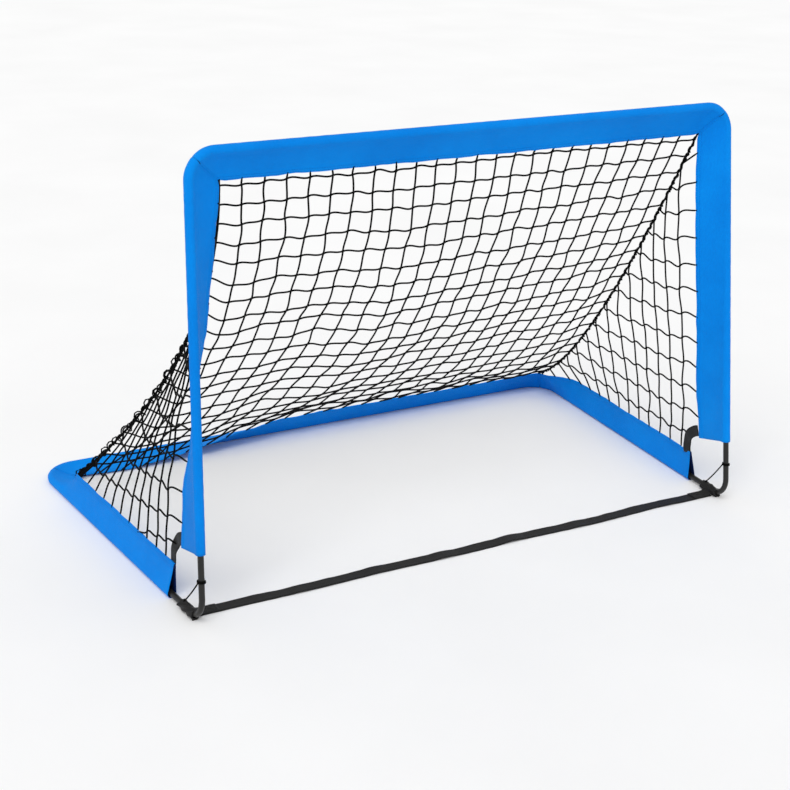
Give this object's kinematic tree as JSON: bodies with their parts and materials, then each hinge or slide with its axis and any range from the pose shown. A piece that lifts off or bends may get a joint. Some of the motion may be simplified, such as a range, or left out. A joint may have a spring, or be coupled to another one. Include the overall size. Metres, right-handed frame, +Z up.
{
  "type": "pop up goal",
  "caption": "Folding pop up goal: a sprung rod loop in fabric sleeves, a draped square-mesh net, corner webbing and a ground strap.",
  "frame": {"origin": "on the ground, under the middle of the goal's overall width and depth", "axes": "+Z up, +X to the right seen from the mouth, the mouth faces -Y"},
  "size_m": [1.309, 0.7728, 0.8409],
  "materials": {
    "rod": "satin",
    "ferrule": "satin",
    "sleeve": "satin",
    "net": "matte",
    "webbing": "matte"
  },
  "bodies": {
    "base_frame": {"rear_rod": "rod", "left_side_rod": "rod", "left_front_bend": "rod", "left_rear_bend": "rod", "right_side_rod": "rod", "right_front_bend": "rod", "right_rear_bend": "rod", "left_side_front_ferrule": "ferrule", "left_side_rear_ferrule": "ferrule", "left_rear_ferrule": "ferrule", "right_side_front_ferrule": "ferrule", "right_side_rear_ferrule": "ferrule", "right_rear_ferrule": "ferrule", "rear_sleeve": "sleeve", "left_side_sleeve": "sleeve", "right_side_sleeve": "sleeve", "back_net": "net", "left_side_net": "net", "left_net_edge_cord": "net", "left_corner_cord": "net", "right_side_net": "net", "right_net_edge_cord": "net", "right_corner_cord": "net", "ground_strap": "webbing", "left_corner_webbing": "webbing", "left_strap_loop": "webbing", "right_corner_webbing": "webbing", "right_strap_loop": "webbing"},
    "front_frame": {"crossbar_rod": "rod", "crossbar_sleeve": "sleeve", "left_upright_rod": "rod", "left_top_bend": "rod", "left_upright_lower_ferrule": "ferrule", "left_upright_upper_ferrule": "ferrule", "left_crossbar_ferrule": "ferrule", "left_upright_sleeve": "sleeve", "right_upright_rod": "rod", "right_top_bend": "rod", "right_upright_lower_ferrule": "ferrule", "right_upright_upper_ferrule": "ferrule", "right_crossbar_ferrule": "ferrule", "right_upright_sleeve": "sleeve"}
  },
  "joints": [
    {"name": "front_fold", "type": "hinge", "parent": "base_frame", "child": "front_frame", "pos_m": [0, -0.34066, 0.04897], "axis": [-1, 0, 0], "range_deg": [0, 83], "stiffness_Nm_per_rad": 2, "springref_deg": -25.78, "deforming": ["back_net", "left_side_net", "left_net_edge_cord", "left_corner_cord", "left_corner_webbing", "left_front_bend", "left_upright_sleeve", "left_side_sleeve", "right_side_net", "right_net_edge_cord", "right_corner_cord", "right_corner_webbing", "right_front_bend", "right_upright_sleeve", "right_side_sleeve", "crossbar_sleeve", "rear_sleeve"]}
  ]
}
